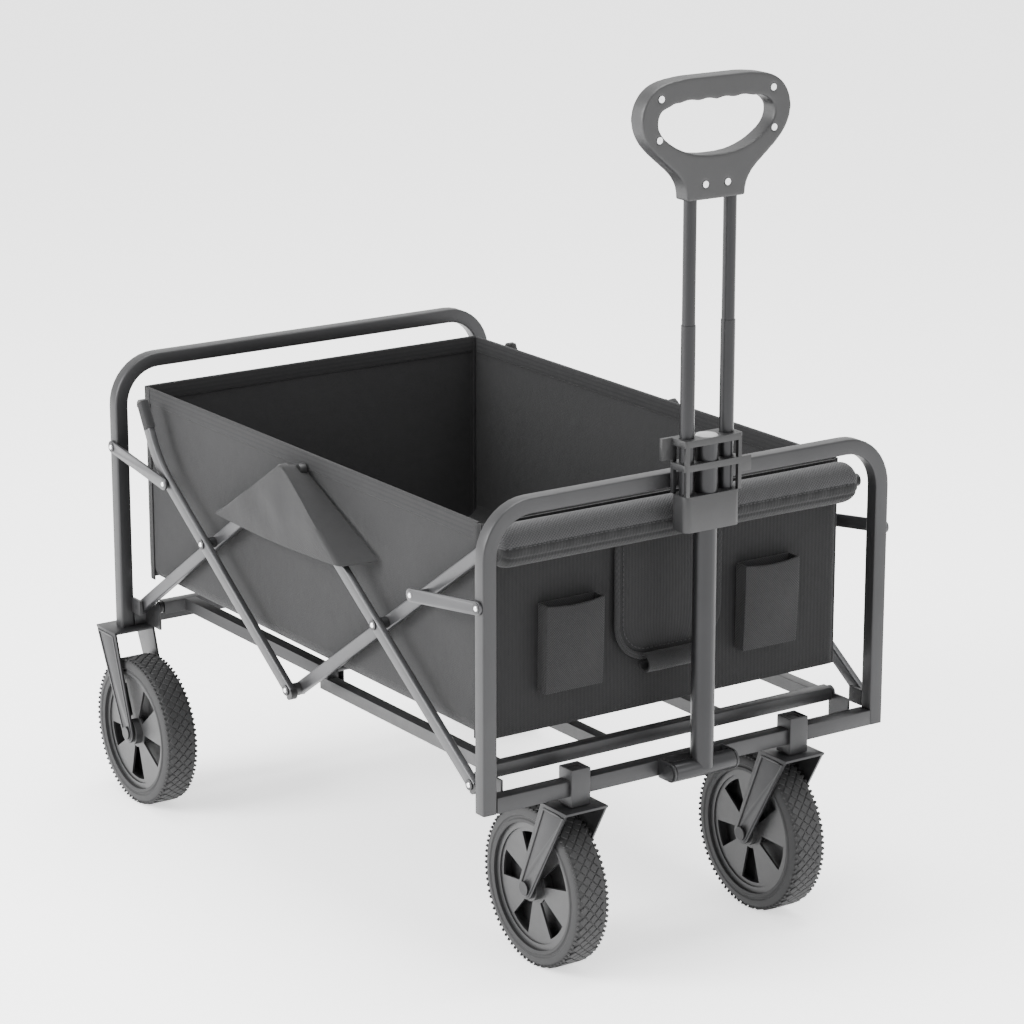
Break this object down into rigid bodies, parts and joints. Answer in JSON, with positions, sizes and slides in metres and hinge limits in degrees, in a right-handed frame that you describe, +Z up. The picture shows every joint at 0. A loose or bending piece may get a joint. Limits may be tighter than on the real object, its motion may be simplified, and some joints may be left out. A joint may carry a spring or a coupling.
{
  "type": "folding camp wagon",
  "caption": "Folding camp wagon: cloth tub on a scissor frame between two tube hoops, with swivel front wheels and a telescopic tilting pull handle.",
  "frame": {"origin": "on the ground under the middle of the open wagon", "axes": "+X towards the pulling end, +Y to the left, +Z up"},
  "size_m": [0.963, 0.6392, 1.066],
  "materials": {
    "graphite_paint": "satin graphite powder coat",
    "bar_paint": "satin graphite powder coat",
    "fork_paint": "satin dark powder coat",
    "bright_steel": "plated",
    "black_plastic": "fine moulded grain",
    "rim_plastic": "satin moulded",
    "tyre_rubber": "matte rubber",
    "woven_cloth": "plain weave, coated",
    "cover_cloth": "coarse mesh weave"
  },
  "bodies": {
    "front_frame": {"front_hoop": "graphite_paint", "front_cross_tube": "graphite_paint", "caster_sockets": "graphite_paint", "swivel_bushes": "black_plastic", "handle_bracket": "graphite_paint", "handle_pin": "bright_steel", "front_pivot_brackets": "graphite_paint", "front_pivot_pins": "bright_steel", "front_panel": "woven_cloth", "cover_roll": "cover_cloth", "front_flap": "woven_cloth", "front_pockets": "woven_cloth", "side_panels": "woven_cloth", "floor_panel": "woven_cloth", "side_flaps": "woven_cloth"},
    "rear_frame": {"rear_hoop": "graphite_paint", "rear_cross_tube": "graphite_paint", "rear_pivot_brackets": "graphite_paint", "rear_pivot_pins": "bright_steel", "rear_forks": "fork_paint", "rear_axles": "bright_steel", "rear_panel": "woven_cloth"},
    "front_outer_scissor": {"front_outer_bars": "bar_paint", "front_outer_caps": "black_plastic", "front_outer_pins": "bright_steel"},
    "front_inner_scissor": {"front_inner_bars": "bar_paint", "front_inner_caps": "black_plastic", "front_inner_pins": "bright_steel"},
    "rear_inner_scissor": {"rear_inner_bars": "bar_paint", "rear_inner_caps": "black_plastic", "rear_inner_pins": "bright_steel"},
    "rear_outer_scissor": {"rear_outer_bars": "bar_paint", "rear_outer_caps": "black_plastic"},
    "front_stabilisers": {"front_links": "bar_paint"},
    "rear_stabilisers": {"rear_links": "bar_paint"},
    "front_deck": {"front_platform": "graphite_paint", "platform_rod": "graphite_paint"},
    "rear_deck": {"rear_platform": "graphite_paint"},
    "pole": {"pole_tube": "graphite_paint", "pole_hub": "graphite_paint", "pole_collar": "black_plastic", "pole_cage": "black_plastic"},
    "lower_handle": {"lower_rods": "graphite_paint"},
    "upper_handle": {"upper_rods": "graphite_paint", "grip_front_shell": "black_plastic", "grip_rear_shell": "black_plastic", "grip_screws": "bright_steel"},
    "caster_left": {"caster_left_fork": "fork_paint", "caster_left_axle": "bright_steel"},
    "caster_right": {"caster_right_fork": "fork_paint", "caster_right_axle": "bright_steel"},
    "front_left_wheel": {"front_left_tyre": "tyre_rubber", "front_left_rim": "rim_plastic"},
    "front_right_wheel": {"front_right_tyre": "tyre_rubber", "front_right_rim": "rim_plastic"},
    "rear_left_wheel": {"rear_left_tyre": "tyre_rubber", "rear_left_rim": "rim_plastic"},
    "rear_right_wheel": {"rear_right_tyre": "tyre_rubber", "rear_right_rim": "rim_plastic"}
  },
  "joints": [
    {"name": "fold", "type": "hinge", "parent": "front_frame", "child": "front_outer_scissor", "pos_m": [0.412, 0, 0.262], "axis": [0, 1, 0], "range_deg": [0, 47.89], "deforming": ["side_panels", "floor_panel", "side_flaps"]},
    {"name": "front_cross_pivot", "type": "hinge", "parent": "front_outer_scissor", "child": "front_inner_scissor", "pos_m": [0.206, 0, 0.401], "axis": [0, 1, 0], "range_deg": [-95.8, 0]},
    {"name": "top_pivot", "type": "hinge", "parent": "front_outer_scissor", "child": "rear_inner_scissor", "pos_m": [0, 0, 0.54], "axis": [0, 1, 0], "range_deg": [-95.8, 0]},
    {"name": "rear_cross_pivot", "type": "hinge", "parent": "rear_inner_scissor", "child": "rear_outer_scissor", "pos_m": [-0.206, 0, 0.401], "axis": [0, 1, 0], "range_deg": [0, 95.8]},
    {"name": "rear_frame_pivot", "type": "hinge", "parent": "rear_inner_scissor", "child": "rear_frame", "pos_m": [-0.412, 0, 0.262], "axis": [0, 1, 0], "range_deg": [0, 47.9]},
    {"name": "front_link_pivot", "type": "hinge", "parent": "front_frame", "child": "front_stabilisers", "pos_m": [0.4345, 0, 0.481], "axis": [0, 1, 0], "range_deg": [0, 80.51]},
    {"name": "rear_link_pivot", "type": "hinge", "parent": "rear_frame", "child": "rear_stabilisers", "pos_m": [-0.4345, 0, 0.481], "axis": [0, 1, 0], "range_deg": [-80.51, 0]},
    {"name": "front_deck_hinge", "type": "hinge", "parent": "front_frame", "child": "front_deck", "pos_m": [0.388, 0, 0.264], "axis": [0, 1, 0], "range_deg": [0, 78.51]},
    {"name": "rear_deck_hinge", "type": "hinge", "parent": "rear_frame", "child": "rear_deck", "pos_m": [-0.388, 0, 0.264], "axis": [0, 1, 0], "range_deg": [-78.51, 0]},
    {"name": "handle_tilt", "type": "hinge", "parent": "front_frame", "child": "pole", "pos_m": [0.466, 0, 0.242], "axis": [0, 1, 0], "range_deg": [0, 95]},
    {"name": "lower_rod_slide", "type": "slide", "parent": "pole", "child": "lower_handle", "axis": [0, 0, 1], "range_m": [-0.125, 0]},
    {"name": "upper_rod_slide", "type": "slide", "parent": "lower_handle", "child": "upper_handle", "axis": [0, 0, 1], "range_m": [-0.13, 0]},
    {"name": "caster_left_swivel", "type": "hinge", "parent": "front_frame", "child": "caster_left", "pos_m": [0.4345, 0.162, 0.2188], "axis": [0, 0, 1], "continuous": true},
    {"name": "caster_right_swivel", "type": "hinge", "parent": "front_frame", "child": "caster_right", "pos_m": [0.4345, -0.162, 0.2188], "axis": [0, 0, 1], "continuous": true},
    {"name": "front_left_wheel_spin", "type": "hinge", "parent": "caster_left", "child": "front_left_wheel", "pos_m": [0.3765, 0.162, 0.1], "axis": [0, 1, 0], "continuous": true},
    {"name": "front_right_wheel_spin", "type": "hinge", "parent": "caster_right", "child": "front_right_wheel", "pos_m": [0.3765, -0.162, 0.1], "axis": [0, 1, 0], "continuous": true},
    {"name": "rear_left_wheel_spin", "type": "hinge", "parent": "rear_frame", "child": "rear_left_wheel", "pos_m": [-0.3815, 0.2865, 0.1], "axis": [0, 1, 0], "continuous": true},
    {"name": "rear_right_wheel_spin", "type": "hinge", "parent": "rear_frame", "child": "rear_right_wheel", "pos_m": [-0.3815, -0.2865, 0.1], "axis": [0, 1, 0], "continuous": true}
  ],
  "couplings": [
    {"joint": "front_cross_pivot", "follows": "fold", "ratio": -2},
    {"joint": "top_pivot", "follows": "fold", "ratio": -2},
    {"joint": "rear_cross_pivot", "follows": "fold", "ratio": 2},
    {"joint": "rear_frame_pivot", "follows": "fold", "ratio": 1},
    {"joint": "front_link_pivot", "follows": "fold", "ratio": 1.6809},
    {"joint": "rear_link_pivot", "follows": "fold", "ratio": -1.6809},
    {"joint": "front_deck_hinge", "follows": "fold", "ratio": 1.639},
    {"joint": "rear_deck_hinge", "follows": "fold", "ratio": -1.639}
  ]
}
